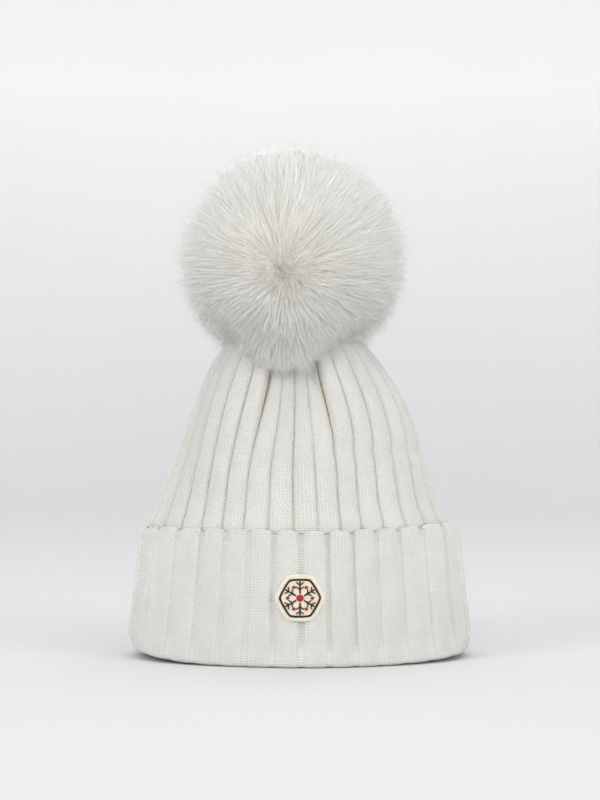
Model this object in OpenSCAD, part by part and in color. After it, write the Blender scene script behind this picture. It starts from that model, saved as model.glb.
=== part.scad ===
// Pom pom beanie: a ribbed knit tube, gathered shut at the top and turned up at the bottom as a
// cuff, with a felt badge sewn on the cuff and a round fur pom that snaps on to the crown.
// The front faces -Y. The origin is the centre of the mouth, on the surface the hat stands on.

/* [Cuff] */
// Half the width of the mouth, at the fold of the cuff
mouth_half_w = 115; // [112:1:120]
// Half the depth of the mouth, at the fold of the cuff
mouth_half_d = 58; // [56:1:62]
// Height of the turned-up cuff
cuff_h = 88; // [84:1:94]
// How far each side of the cuff draws in, from the fold to the upper edge
cuff_draw_w = 9.5; // [8:0.5:11]
// How far the front and the back of the cuff draw in
cuff_draw_d = 4.5; // [3:0.5:5]

/* [Crown] */
// Height of the gathered top above the mouth
crown_h = 238; // [225:1:245]
// Half the width of the crown where it comes out of the cuff
crown_half_w = 98; // [94:1:98]
// Half the depth of the crown where it comes out of the cuff
crown_half_d = 48.8; // [44:0.2:48.8]
// Thickness of one layer of the knit
knit_t = 3; // [2.5:0.1:3]
// How far the gathered top leans to the wearer's right
top_lean = 4.5; // [0:0.5:6]

/* [Pom] */
// Radius of the fur ball, to the tips of the hair
pom_r = 73; // [68:1:76]
// Height of the middle of the pom above the gathered top
pom_rise = 28; // [26:1:30]
// Radius of the stuffed hide that the hair grows from
hide_r = 21; // [19:0.5:22]

/* [Badge] */
// Width of the felt badge
badge_w = 33; // [28:1:36]
// Height of the badge's middle above the mouth
badge_z = 45; // [40:1:50]

/* [Care label] */
// Width of the care label
label_w = 30; // [20:1:40]
// Length of the care label below its stitches
label_h = 40; // [25:1:45]

/* [Hidden] */

$fn = 64;
knit_colour = "ivory";
fur_colour = "white";
nickel_colour = "silver";
thread_colour = "cornsilk";

// Corners round one ring of the knit surfaces
ring_steps = 48;
// Clearance between two layers of knit that lie on each other
layer_gap = 0.4;
// A hair's breadth, between pieces of one body that only rest on each other
rest_gap = 0.1;

// The cuff's outer layer, and the layer behind it that the fold joins to it
turn_up_t = 3.2;
fold_outer = turn_up_t + layer_gap;
fold_inner = fold_outer + 2.8;
fold_h = 5.6;
fold_layer_h = 40;
fold_bevel = 1.2;
edge_h = 3.8;

// The crown's lower end, behind the cuff
skirt_bottom = 14;
skirt_flare = 5.5;
// The crown narrows evenly by crown_narrowing, then by crown_rounding close to the gather
crown_narrowing = 49;
gather_r = 10;
crown_rounding = crown_half_w - crown_narrowing - gather_r;
crown_rounding_power = 5.5;
// The crown's section goes from a flat ellipse at the cuff to a circle at the gather
crown_section_power = 1.5;
// Heights at which the crown's outline is drawn, behind the cuff and then up to the gather
crown_heights = concat([skirt_bottom, cuff_h / 2, cuff_h - 2],
    [for (share = [0.02, 0.2, 0.4, 0.6, 0.74, 0.84, 0.91, 0.96, 1])
        cuff_h + (crown_h - cuff_h) * share]);
// The gathered knit is bunched thick round the hole for the snap's post
post_hole_r = 2.4;
bunch_z = crown_h - 6.5;
bunch_r = 11.5;
seam_bottom = skirt_bottom + 2;
seam_top = crown_h - 20;
disc_t = 2.2;
disc_r = bunch_r - 0.5;
gather_thread_r = 8;

// Heights along the snap, above the gathered top
thread_rise = 0.9;
stud_rise = 0.2;
socket_rise = 1.4;
base_rise = 6.6;
cap_rise = 9.1;
neck_rise = 12.3;
stud_bulb_r = 3.2;
stud_bore_h = 2.5;
socket_bore_r = 3.45;
groove_low = 1.8;
groove_high = 2.8;
barrel_r = 1.9;
base_r = 14;

pom_z = crown_h + pom_rise;
// Lowest height of the fur's outer edge, and the radius of the hollow above the pom's base
fur_lip_z = crown_h - 19;
fur_neck_r = 16;
fur_neck_z = crown_h + 5;

badge_t = 1.6;
badge_gap = 0.4;
thread_t = 0.7;
badge_tilt = atan(cuff_draw_d / cuff_h);

label_t = 0.8;
label_top = 68;
label_y = 42;
// The label's edge hangs just below the stitches that it swings from
label_hinge_gap = 0.5;

// Half width and half depth of the cuff's outer surface at height z
function cuff_w(z) = mouth_half_w - cuff_draw_w * z / cuff_h;
function cuff_d(z) = mouth_half_d - cuff_draw_d * z / cuff_h;

// How far up the crown height z is: 0 at the cuff's edge and 1 at the gather
function crown_share(z) = max(0, (z - cuff_h) / (crown_h - cuff_h));
function crown_w(z) = z < cuff_h
    ? crown_half_w + skirt_flare * (cuff_h - z) / (cuff_h - skirt_bottom)
    : crown_half_w - crown_narrowing * crown_share(z)
        - crown_rounding * pow(crown_share(z), crown_rounding_power);
function crown_section(z) = crown_half_d / crown_half_w
    + (1 - crown_half_d / crown_half_w) * pow(crown_share(z), crown_section_power);
function crown_d(z) = z < cuff_h ? crown_half_d : crown_w(z) * crown_section(z);
function crown_x(z) = -top_lean * pow(crown_share(z), 2) * (3 - 2 * crown_share(z));

// One ring of an elliptical section, counter-clockwise from above
function ring(z, w, d, x = 0) =
    [for (i = [0:ring_steps - 1]) let (turn = 360 * i / ring_steps)
        [x + w * cos(turn), d * sin(turn), z]];
function cuff_ring(z, inset) = ring(z, cuff_w(z) - inset, cuff_d(z) - inset);
function crown_ring(z, inset, drop = 0) =
    ring(z - drop, crown_w(z) - inset, crown_d(z) - inset, crown_x(z));
function crown_inner_ring(z) = crown_ring(z, knit_t, knit_t * crown_share(z));
// Points along an arc in the half plane that a turned shape is drawn in
function arc(r, z, from, to, steps) =
    [for (i = [0:steps]) let (a = from + (to - from) * i / steps) [r * cos(a), z + r * sin(a)]];
function flat(lists) = [for (list = lists) for (item = list) item];

// A tube wall: rings that run up its outer side and down its inner side, and meet again
module ring_wall(rings) {
    count = len(rings);
    steps = len(rings[0]);
    faces = [for (k = [0:count - 1]) for (i = [0:steps - 1])
        let (here = k * steps, next = ((k + 1) % count) * steps, j = (i + 1) % steps)
        [here + i, next + i, next + j, here + j]];
    polyhedron(points = flat(rings), faces = faces, convexity = 6);
}

// A solid strip through rings of points, closed at both ends
module strip(rings) {
    steps = len(rings[0]);
    sides = [for (k = [0:len(rings) - 2]) for (i = [0:steps - 1])
        let (here = k * steps, next = here + steps, j = (i + 1) % steps)
        [here + i, next + i, next + j, here + j]];
    first = [for (i = [0:steps - 1]) i];
    last = [for (i = [steps - 1:-1:0]) (len(rings) - 1) * steps + i];
    polyhedron(points = flat(rings), faces = concat([first], sides, [last]), convexity = 4);
}

module at_pom_axis(z) {
    translate([-top_lean, 0, z]) children();
}

// A flat round piece with a hole through its middle
module washer(r, hole_r, h) {
    difference() {
        cylinder(r = r, h = h);
        translate([0, 0, -1]) cylinder(r = hole_r, h = h + 2);
    }
}

module thread_ring(r, thread_r) {
    rotate_extrude() translate([r, 0]) circle(r = thread_r);
}

// The knit tube from behind the cuff up to the gather, closed and bunched round the snap's post
module crown() {
    outer = [for (z = crown_heights) crown_ring(z, 0)];
    inner = [for (i = [len(crown_heights) - 2:-1:0]) crown_inner_ring(crown_heights[i])];
    bunched_knit = [
        ring(crown_h, post_hole_r, post_hole_r, -top_lean),
        ring(bunch_z, post_hole_r, post_hole_r, -top_lean),
        ring(bunch_z, bunch_r, bunch_r, -top_lean)
    ];
    color(knit_colour) ring_wall(concat(outer, bunched_knit, inner));
}

// The linked seam that closes the knit into a tube, up the inside of the back
module back_seam() {
    half = 2;
    depth = 1.5;
    rise = 0.3;
    heights = [for (z = crown_heights) if (z > seam_bottom && z < seam_top) z];
    rings = [for (z = concat([seam_bottom], heights))
        let (x = crown_x(z), y = crown_d(z) - knit_t - rise, low = z - knit_t * crown_share(z))
        [[x - half, y, low], [x - half, y - depth, low], [x + half, y - depth, low], [x + half, y, low]]];
    color(thread_colour) strip(rings);
}

// The thread drawn through the last course to gather the crown shut
module crown_gather_thread() {
    color(thread_colour) at_pom_axis(crown_h + thread_rise) thread_ring(gather_thread_r, thread_t);
}

// Felt disc inside the gather, which spreads the snap's pull over the knit
module crown_disc() {
    color("linen") at_pom_axis(bunch_z - disc_t - rest_gap) washer(disc_r, post_hole_r, disc_t);
}

// Rivet from inside the crown, through the disc and the gather
module snap_post() {
    head_r = 5;
    head_t = 1;
    shank_r = 2;
    bottom = bunch_z - disc_t - 2 * rest_gap - head_t;
    color(nickel_colour) at_pom_axis(bottom) union() {
        cylinder(r = head_r, h = head_t);
        cylinder(r = shank_r, h = crown_h + stud_bore_h - bottom);
    }
}

// Male half of the snap, clenched on the post outside the crown
module snap_stud() {
    bore_r = 2.05;
    flange_r = 6.5;
    flange_t = 0.8;
    neck_r = 2.7;
    top_r = 2.5;
    h = 4.8;
    outline = [[bore_r, 0], [flange_r, 0], [flange_r, flange_t], [neck_r, flange_t], [neck_r, 2],
        [stud_bulb_r, 2.6], [stud_bulb_r, 4], [top_r, h], [0, h], [0, stud_bore_h], [bore_r, stud_bore_h]];
    color(nickel_colour) at_pom_axis(crown_h + stud_rise) rotate_extrude() polygon(outline);
}

// The doubled edge that the hat stands on, and the layer that runs up from it behind the turn-up
module cuff_fold() {
    rings = [
        cuff_ring(0, fold_inner - fold_bevel),
        cuff_ring(0, fold_bevel),
        cuff_ring(fold_bevel, 0),
        cuff_ring(fold_h, 0),
        cuff_ring(fold_h, fold_outer),
        cuff_ring(fold_layer_h, fold_outer),
        cuff_ring(fold_layer_h, fold_inner),
        cuff_ring(fold_h, fold_inner),
        cuff_ring(fold_bevel, fold_inner)
    ];
    color(knit_colour) ring_wall(rings);
}

// The cuff's outer layer, between the fold and the upper edge. It shortens as the cuff rolls down
module cuff_turn_up() {
    bottom = fold_h + rest_gap;
    top = cuff_h - edge_h - rest_gap;
    rings = [
        cuff_ring(bottom, 0),
        cuff_ring(top, 0),
        cuff_ring(top, turn_up_t),
        cuff_ring(bottom, turn_up_t)
    ];
    color(knit_colour) ring_wall(rings);
}

// The bound-off edge course along the top of the cuff
module cuff_edge() {
    bevel = 1;
    rings = [
        cuff_ring(cuff_h - edge_h, 0),
        cuff_ring(cuff_h - bevel, 0),
        cuff_ring(cuff_h, bevel),
        cuff_ring(cuff_h, turn_up_t - bevel),
        cuff_ring(cuff_h - bevel, turn_up_t),
        cuff_ring(cuff_h - edge_h, turn_up_t)
    ];
    color(knit_colour) ring_wall(rings);
}

// Wire spring in the socket's groove, which grips the stud
module snap_spring() {
    spring_r = 3.9;
    wire_r = 0.4;
    color("gainsboro") at_pom_axis(crown_h + socket_rise + (groove_low + groove_high) / 2)
        thread_ring(spring_r, wire_r);
}

// Female half of the snap, under the pom's base
module snap_socket() {
    outer_r = 6;
    h = 5;
    wall_t = 0.5;
    bevel = 0.6;
    groove_r = 4.4;
    barrel_hole_r = barrel_r + 0.05;
    outline = [[socket_bore_r, 0], [outer_r - bevel, 0], [outer_r, bevel], [outer_r, h],
        [barrel_hole_r, h], [barrel_hole_r, h - wall_t], [socket_bore_r, h - wall_t],
        [socket_bore_r, groove_high], [groove_r, groove_high], [groove_r, groove_low],
        [socket_bore_r, groove_low]];
    color(nickel_colour) at_pom_axis(crown_h + socket_rise) rotate_extrude() polygon(outline);
}

// Cap above the pom's base, whose barrel is clenched into the socket
module snap_cap() {
    cap_r = 5.5;
    cap_t = 0.8;
    barrel_l = 3;
    color(nickel_colour) at_pom_axis(crown_h + cap_rise) union() {
        cylinder(r = cap_r, h = cap_t);
        translate([0, 0, -barrel_l]) cylinder(r = barrel_r, h = barrel_l);
    }
}

// Stiff round base that the pom is tied to
module pom_base() {
    hole_r = 2.2;
    base_t = 2.4;
    color("wheat") at_pom_axis(crown_h + base_rise) washer(base_r, hole_r, base_t);
}

// The round of hide that the hair grows from, drawn into a ball
module pom_hide() {
    t = 1;
    neck = asin((neck_rise - pom_rise) / hide_r);
    outline = concat(arc(hide_r, 0, neck, 90, 24), arc(hide_r - t, 0, 90, neck, 24));
    color("antiquewhite") at_pom_axis(pom_z) rotate_extrude() polygon(outline);
}

// Wadding inside the hide
module pom_filling() {
    inside_hide = 1.3;
    r = hide_r - inside_hide;
    neck = asin((neck_rise - pom_rise) / r);
    outline = concat([[0, r * sin(neck)]], arc(r, 0, neck, 90, 24));
    color("whitesmoke") at_pom_axis(pom_z) rotate_extrude() polygon(outline);
}

// Cord that draws the hide's edge together under the filling
module pom_drawstring() {
    string_r = 0.6;
    drawn_r = 11.5;
    below_neck = 0.8;
    color(thread_colour) at_pom_axis(crown_h + neck_rise - below_neck) thread_ring(drawn_r, string_r);
}

// Outer shape of the fur: a ball of hair round the hide, open below where the crown's top goes in
module pom_fur() {
    inner_r = hide_r + 0.4;
    lip = asin((fur_lip_z - pom_z) / pom_r);
    neck = -acos(fur_neck_r / inner_r);
    outline = concat(
        arc(pom_r, 0, lip, 90, 30),
        arc(inner_r, 0, 90, neck, 16),
        [[fur_neck_r, fur_neck_z - pom_z], [pom_r * cos(lip) - 2, fur_lip_z - pom_z]]
    );
    color(fur_colour) at_pom_axis(pom_z) rotate_extrude() polygon(outline);
}

// Flat hexagon with rounded corners, its width across two opposite corners
module rounded_hexagon(width) {
    round_r = width / 5;
    reach = width / 2 - round_r;
    corners = [for (i = [0:5]) for (side = [-30, 30])
        [reach * cos(60 * i) + round_r * cos(60 * i + side),
         reach * sin(60 * i) + round_r * sin(60 * i + side)]];
    polygon(corners);
    for (i = [0:5]) rotate(60 * i) translate([reach, 0]) circle(r = round_r);
}

// Places a flat shape on the front of the cuff, rise above the knit and h thick
module on_badge(rise, h) {
    translate([0, -cuff_d(badge_z) - badge_gap, badge_z])
        rotate([-badge_tilt, 0, 0])
        translate([0, -rise, 0])
        rotate([90, 0, 0])
        linear_extrude(h) children();
}

module badge_felt() {
    color("bisque") on_badge(0, badge_t) rounded_hexagon(badge_w);
}

// Satin-stitched line a little inside the felt's edge
module badge_border() {
    line_w = 1.5;
    line_outer = badge_w - 5;
    color("black") on_badge(badge_t, thread_t) difference() {
        rounded_hexagon(line_outer);
        rounded_hexagon(line_outer - 2 * line_w);
    }
}

// Six embroidered arms, each with two pairs of barbs
module badge_snowflake() {
    first_reach = 3;
    reach = badge_w * 0.33;
    arm_w = 1.2;
    barb_w = 0.9;
    barb_l = 3.1;
    barb_angle = 55;
    color("black") on_badge(badge_t, thread_t) for (i = [0:5]) rotate(60 * i + 30) {
        translate([first_reach, -arm_w / 2]) square([reach - first_reach, arm_w]);
        for (share = [0.5, 0.76]) for (side = [-barb_angle, barb_angle])
            translate([reach * share, 0]) rotate(side) translate([0, -barb_w / 2]) square([barb_l, barb_w]);
    }
}

// Embroidered middle of the snowflake and a stitched dot between each two arms
module badge_centre() {
    middle_r = 2.4;
    dot_r = 1.1;
    color("firebrick") on_badge(badge_t, thread_t) {
        circle(r = middle_r);
        for (i = [0:5]) rotate(60 * i) translate([badge_w * 0.24, 0]) circle(r = dot_r);
    }
}

// Hand stitches over the felt's edge, which hold the badge to the knit
module badge_stitches() {
    count = 30;
    stitch_l = 1.3;
    stitch_w = 0.5;
    stitch_t = 0.4;
    rise = 0.02;
    reach = badge_w * 0.427;
    color(thread_colour) for (i = [0:count - 1])
        on_badge(badge_t + rise, stitch_t)
            rotate(360 * (i + 0.5) / count) translate([reach, -stitch_w / 2]) square([stitch_l, stitch_w]);
}

// Blank care label, hanging from its stitches over the back seam
module care_label() {
    color("snow") translate([-label_w / 2, label_y, label_top - label_h])
        cube([label_w, label_t, label_h - label_hinge_gap]);
}

// Stitches through the label's upper edge, which it hangs and swings from
module care_label_stitches() {
    count = 7;
    pitch = (label_w - 2) / count;
    color(thread_colour) for (i = [0:count - 1])
        translate([(i - (count - 1) / 2) * pitch, label_y + label_t / 2, label_top])
            rotate([0, 90, 0]) cylinder(r = 0.35, h = pitch * 0.7, center = true);
}

crown();
back_seam();
crown_gather_thread();
crown_disc();
snap_post();
snap_stud();
cuff_fold();
cuff_turn_up();
cuff_edge();
snap_spring();
snap_socket();
snap_cap();
pom_base();
pom_hide();
pom_filling();
pom_drawstring();
pom_fur();
badge_felt();
badge_border();
badge_snowflake();
badge_centre();
badge_stitches();
care_label();
care_label_stitches();
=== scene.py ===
import bpy
import math
import numpy as np
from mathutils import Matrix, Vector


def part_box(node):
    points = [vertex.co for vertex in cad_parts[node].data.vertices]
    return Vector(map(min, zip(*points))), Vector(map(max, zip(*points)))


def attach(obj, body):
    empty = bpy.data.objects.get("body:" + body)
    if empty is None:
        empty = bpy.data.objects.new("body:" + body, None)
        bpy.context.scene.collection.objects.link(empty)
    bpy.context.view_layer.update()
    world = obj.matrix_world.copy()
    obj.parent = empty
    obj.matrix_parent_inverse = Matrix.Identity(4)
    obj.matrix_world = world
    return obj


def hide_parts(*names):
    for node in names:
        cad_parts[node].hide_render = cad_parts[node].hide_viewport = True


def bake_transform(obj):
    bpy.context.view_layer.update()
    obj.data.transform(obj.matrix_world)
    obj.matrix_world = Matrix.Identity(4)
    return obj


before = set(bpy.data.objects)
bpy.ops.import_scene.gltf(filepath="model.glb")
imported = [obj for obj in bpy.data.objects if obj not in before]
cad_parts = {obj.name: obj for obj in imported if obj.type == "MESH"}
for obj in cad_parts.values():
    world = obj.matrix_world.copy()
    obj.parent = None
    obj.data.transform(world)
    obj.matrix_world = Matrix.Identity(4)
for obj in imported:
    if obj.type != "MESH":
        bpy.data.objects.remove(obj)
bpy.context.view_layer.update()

# Pom pom beanie: the ribbed knit, the fur pom and the embroidered badge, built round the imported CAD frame.
# Everything is in metres in the CAD frame, with the front towards -Y. A turn is an angle round the hat,
# in radians from the front, towards +X.

rng = np.random.default_rng(20)
TAU = 2 * math.pi
MM = 0.001

# ---- Sizes: from the frame where it holds them, and the knit's own gauge ------------------------

mouth_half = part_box("cuff_fold")[1][:2]
edge_low, edge_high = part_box("cuff_edge")
edge_half = edge_high[:2]
edge_bottom = edge_low.z
cuff_h = edge_high.z
crown_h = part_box("crown")[1].z
fur_low, fur_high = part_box("pom_fur")
fur_neck_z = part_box("pom_base")[1].z - 4 * MM
fur_neck_r = 17 * MM
pom_r = (fur_high.x - fur_low.x) / 2
pom_centre = np.array([(fur_high.x + fur_low.x) / 2, 0, fur_high.z - pom_r])
hide_low, hide_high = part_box("pom_hide")
hide_r = (hide_high.x - hide_low.x) / 2
hide_x = (hide_low.x + hide_high.x) / 2
pom_axis_x = pom_centre[0]
gather_hole_r = 2.4 * MM

# The crown's outline, as in the CAD source
crown_half_w = 98 * MM
crown_half_d = 48.8 * MM
crown_narrowing = 49 * MM
crown_rounding = 39 * MM
crown_rounding_power = 5.5
crown_section_power = 1.5
skirt_flare = 5.5 * MM
skirt_bottom = 14 * MM

crown_ribs = 32
cuff_ribs = 30
crown_wales = 6          # stitch columns in a rib of the crown
cuff_wales = 7           # five raised and two sunken columns to a rib of the cuff
wale_points = 4          # mesh points across a stitch column
row_h = 1.7 * MM
knit_t = 3 * MM
cuff_t = 3.2 * MM
wale_groove = 0.22 * MM


# ---- Mesh helpers ------------------------

def smoothstep(low, high, x):
    t = np.clip((x - low) / (high - low), 0, 1)
    return t * t * (3 - 2 * t)


def bell(x, middle, width):
    return np.exp(-((x - middle) / width) ** 2)


def unit(v):
    return v / np.maximum(np.linalg.norm(v, axis=-1, keepdims=True), 1e-12)


def grid_faces(rows, cols, closed_rows=False):
    """Quads of a grid whose columns meet round a ring, and whose rows do too if closed_rows."""
    r = np.arange(rows if closed_rows else rows - 1)[:, None]
    c = np.arange(cols)[None, :]
    next_r, next_c = (r + 1) % rows, (c + 1) % cols
    quads = np.stack([r * cols + c, r * cols + next_c, next_r * cols + next_c, next_r * cols + c], -1)
    return quads.reshape(-1, 4)


def mesh_object(name, points, faces):
    """A mesh object from an array of points and an array, or arrays, of faces with 3 or 4 corners."""
    mesh = bpy.data.meshes.new(name)
    groups = [np.asarray(f) for f in (faces if isinstance(faces, list) else [faces])]
    corners = np.concatenate([g.ravel() for g in groups])
    sizes = np.concatenate([np.full(len(g), g.shape[1]) for g in groups])
    mesh.vertices.add(len(points))
    mesh.vertices.foreach_set("co", np.asarray(points, np.float32).ravel())
    mesh.loops.add(len(corners))
    mesh.loops.foreach_set("vertex_index", corners.astype(np.int32))
    mesh.polygons.add(len(sizes))
    mesh.polygons.foreach_set("loop_start", np.concatenate([[0], np.cumsum(sizes)[:-1]]).astype(np.int32))
    mesh.polygons.foreach_set("use_smooth", np.full(len(sizes), True))
    mesh.update(calc_edges=True)
    mesh.validate()
    obj = bpy.data.objects.new(name, mesh)
    bpy.context.scene.collection.objects.link(obj)
    return obj


def corner_uv(obj, layer, uv_of_corner):
    """A UV layer from one (u, v) for each face corner."""
    data = obj.data.uv_layers.new(name=layer).data
    data.foreach_set("uv", np.asarray(uv_of_corner, np.float32).ravel())


def point_value(obj, name, values):
    attribute = obj.data.attributes.new(name, "FLOAT", "POINT")
    attribute.data.foreach_set("value", np.asarray(values, np.float32).ravel())


def corner_vertices(obj):
    index = np.zeros(len(obj.data.loops), np.int32)
    obj.data.loops.foreach_get("vertex_index", index)
    return index


def ring_grid(name, points, stitch_u, stitch_v, turn_stitches, values):
    """A knitted wall: points[row, column] round the hat, its rows and its columns both closed.

    stitch_u and stitch_v place every point in stitch columns and courses, and values are stored on it.
    """
    rows, cols = points.shape[:2]
    obj = mesh_object(name, points.reshape(-1, 3), grid_faces(rows, cols, True))
    index = corner_vertices(obj).reshape(-1, 4)
    row, col = index // cols, index % cols
    round_col = (col == 0) & (col.max(1, keepdims=True) == cols - 1)
    round_row = (row == 0) & (row.max(1, keepdims=True) == rows - 1)
    bake_u = (col + cols * round_col) / cols
    bake_v = (row + rows * round_row) / rows
    corner_uv(obj, "OFBake", np.stack([bake_u, bake_v], -1))
    u = stitch_u[row, col] + turn_stitches * round_col
    v = np.where(round_row, stitch_v[-1] + 1, stitch_v[row])
    corner_uv(obj, "stitches", np.stack([u, v], -1))
    for key, value in values.items():
        point_value(obj, key, np.broadcast_to(value, (rows, cols)))
    return obj


def ring_turns(count):
    """Angles spaced evenly round a full turn."""
    return np.arange(count) / count * TAU


def around(x, r, z, turns):
    """Points at radius r and height z round the upright axis at x."""
    return np.stack(np.broadcast_arrays(x + r * np.sin(turns), -r * np.cos(turns), z), -1)


def cap(ring, middle, flip=False):
    """Triangles from each edge of a ring of vertices to the vertex in its middle."""
    following = np.roll(ring, -1)
    first, second = (following, ring) if flip else (ring, following)
    return np.stack([first, second, np.full(len(ring), middle)], -1)


def repeated(count, per, *faces):
    """The faces of one thread, repeated for count threads that have per vertices each."""
    first = np.arange(count)[:, None, None] * per
    return [(first + own).reshape(-1, own.shape[1]) for own in faces]


def tube_rings(lines, along, helper, radius, sides):
    """Rings of points square to lines[line, step]. helper: directions that don't lie along them."""
    across = unit(np.cross(along, helper))
    up = np.cross(along, across)
    turns = np.arange(sides) * TAU / sides
    spokes = np.cos(turns)[:, None] * across[:, :, None] + np.sin(turns)[:, None] * up[:, :, None]
    return lines[:, :, None] + radius[..., None, None] * spokes


def dress(piece, material, slot, body=None, *nodes):
    """Gives a piece its material, hides the CAD nodes it stands for and hangs it on the body it rides on. The
    slot is not used.
    """
    piece.data.materials.append(material)
    if nodes:
        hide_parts(*nodes)
    if body:
        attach(piece, body)


# ---- Materials ------------------------

def srgb(r, g, b):
    return tuple(c / 12.92 if c <= 0.04045 else ((c + 0.055) / 1.055) ** 2.4 for c in (r, g, b)) + (1,)


class Shader:
    """A material with one Principled shader, and short calls for the nodes that feed it."""

    def __init__(self, name, **sockets):
        self.material = bpy.data.materials.new(name)
        self.material.use_nodes = True
        self.tree = self.material.node_tree
        self.principled = next(n for n in self.tree.nodes if n.type == "BSDF_PRINCIPLED")
        for key, value in sockets.items():
            self.principled.inputs[key.replace("_", " ")].default_value = value

    def node(self, kind, out=0, inputs=(), **settings):
        made = self.tree.nodes.new("ShaderNode" + kind)
        for key, value in settings.items():
            setattr(made, key, value)
        for key, value in dict(inputs).items():
            if isinstance(value, bpy.types.NodeSocket):
                self.tree.links.new(value, made.inputs[key])
            else:
                made.inputs[key].default_value = value
        return made.outputs[out]

    def math(self, operation, a, b=0.0, c=0.0):
        return self.node("Math", 0, {0: a, 1: b, 2: c}, operation=operation)

    def attribute(self, name):
        return self.node("Attribute", "Fac", attribute_name=name)

    def noise(self, scale, detail=2, roughness=0.5):
        place = self.node("TexCoord", "Object")
        settings = {"Vector": place, "Scale": scale, "Detail": detail, "Roughness": roughness}
        return self.node("TexNoise", "Fac", settings)

    def ramp(self, factor, *stops):
        colour_out = self.node("ValToRGB", "Color", {"Fac": factor})
        elements = colour_out.node.color_ramp.elements
        while len(elements) < len(stops):
            elements.new(0.5)
        for element, (place, colour) in zip(elements, stops):
            element.position = place
            element.color = colour
        return colour_out

    def mix(self, factor, a, b, blend="MIX"):
        return self.node("Mix", 2, {0: factor, 6: a, 7: b}, data_type="RGBA", blend_type=blend)

    def waves(self, value, rate):
        """Rounded bumps, 0 to 1, that follow each other along a value."""
        return self.math("ABSOLUTE", self.math("SINE", self.math("MULTIPLY", value, rate)))

    def times(self, a, b):
        return self.mix(1.0, a, b, "MULTIPLY")

    def split(self, vector):
        """The three sockets that hold a vector's parts."""
        return self.node("SeparateXYZ", slice(None), {0: vector})

    def range(self, value, low, high):
        return self.node("MapRange", "Result", {"Value": value, "To Min": low, "To Max": high})

    def feed(self, socket, value):
        self.tree.links.new(value, self.principled.inputs[socket])

    def bump(self, height, distance, strength=1.0, under=None):
        inputs = {"Height": height, "Distance": distance, "Strength": strength}
        if under is not None:
            inputs["Normal"] = under
        result = self.node("Bump", "Normal", inputs)
        self.feed("Normal", result)
        return result

    def finish(self, tone, spots, low, high, height, distance, strength):
        """The material, with a tone, a roughness from low to high that follows spots, and a relief."""
        self.feed("Base Color", tone)
        self.feed("Roughness", self.range(spots, low, high))
        self.bump(height, distance, strength)
        return self.material


WHITE = (1, 1, 1, 1)
WOOL = srgb(0.912, 0.915, 0.898)
# Painted shade: the valley and crease colours stand for the shade down in the knit's creases.
VALLEY_SHADE = srgb(0.87, 0.852, 0.807)
CREASE_SHADE = srgb(0.745, 0.695, 0.605)
LOOP_SHADE = srgb(0.91, 0.91, 0.90)
# The wool's tint is the dark end of its mottle, and also the painted shade on the cuff's sunken purl columns.
WOOL_MOTTLE_AND_PURL_SHADE = (0.965, 0.96, 0.945, 1)


def knit_material():
    """Cream wool: V stitches on the raised columns, bars on the sunken ones; painted shade in beige down in
    the creases, between the loops and on the sunken purl columns.
    """
    leg_slant, bar_wave = -1.1, 0.22
    s = Shader("knit_wool", Roughness=0.9, Sheen_Weight=0.25, Sheen_Roughness=0.6)
    column, course = s.split(s.node("UVMap", "UV", uv_map="stitches"))[:2]
    across = s.math("ABSOLUTE", s.math("SUBTRACT", s.math("FRACT", column), 0.5))
    leg_along = s.waves(s.math("MULTIPLY_ADD", across, leg_slant, course), math.pi)
    leg_across = s.math("SINE", s.math("MULTIPLY", across, TAU))
    knit_loop = s.math("MULTIPLY", s.math("POWER", leg_along, 0.6), s.math("POWER", leg_across, 0.7))
    wave = s.math("MULTIPLY", s.math("COSINE", s.math("MULTIPLY", column, TAU)), bar_wave)
    purl_loop = s.math("POWER", s.waves(s.math("ADD", course, wave), math.pi), 0.7)
    purl = s.attribute("purl")
    height = s.node("Mix", 0, {0: purl, 2: knit_loop, 3: purl_loop}, data_type="FLOAT")
    fibres = s.noise(2600, 3)
    # painted shade: beige and darker down in the creases, and in thin lines along the cuff's valley walls
    tone = s.ramp(s.attribute("painted_crease_shade"), (0.0, CREASE_SHADE), (0.3, VALLEY_SHADE), (0.75, WOOL))
    tone = s.times(tone, s.ramp(height, (0.0, LOOP_SHADE), (0.5, WHITE)))
    # painted shade: the sunken purl columns are coloured darker
    tone = s.times(tone, s.mix(purl, WHITE, WOOL_MOTTLE_AND_PURL_SHADE))
    s.feed("Base Color", s.times(tone, s.ramp(s.noise(60, 3), (0.3, WOOL_MOTTLE_AND_PURL_SHADE), (0.7, WHITE))))
    s.feed("Roughness", s.range(fibres, 0.8, 1.0))
    loops = s.bump(height, 0.8 * MM, 1.0)
    s.bump(fibres, 0.25 * MM, 0.4, loops)
    return s.material


# ---- Shape of the knit ------------------------

def crown_share(z):
    return np.clip((z - cuff_h) / (crown_h - cuff_h), 0, 1)


def crown_w(z):
    t = crown_share(z)
    skirt = skirt_flare * np.clip((cuff_h - z) / (cuff_h - skirt_bottom), 0, 2)
    return crown_half_w + skirt - crown_narrowing * t - crown_rounding * t ** crown_rounding_power


def crown_d(z):
    flat = crown_half_d / crown_half_w
    section = flat + (1 - flat) * crown_share(z) ** crown_section_power
    return np.where(z < cuff_h, crown_half_d, crown_w(z) * section)


def crown_x(z):
    t = crown_share(z)
    return pom_axis_x * t * t * (3 - 2 * t)


def cuff_half(z):
    """Half width and half depth of the cuff's outer surface at height z."""
    t = z / edge_bottom
    return [mouth_half[i] + (edge_half[i] - mouth_half[i]) * t for i in (0, 1)]


def even_turns(w, d, cols):
    """Angles that space columns evenly along an ellipse's edge, from the front, towards +X."""
    turns = np.linspace(0, TAU, 721)
    x, y = w * np.sin(turns), -d * np.cos(turns)
    run = np.concatenate([[0], np.cumsum(np.hypot(np.diff(x), np.diff(y)))])
    return np.interp(np.arange(cols) / cols * run[-1], run, turns)


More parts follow.
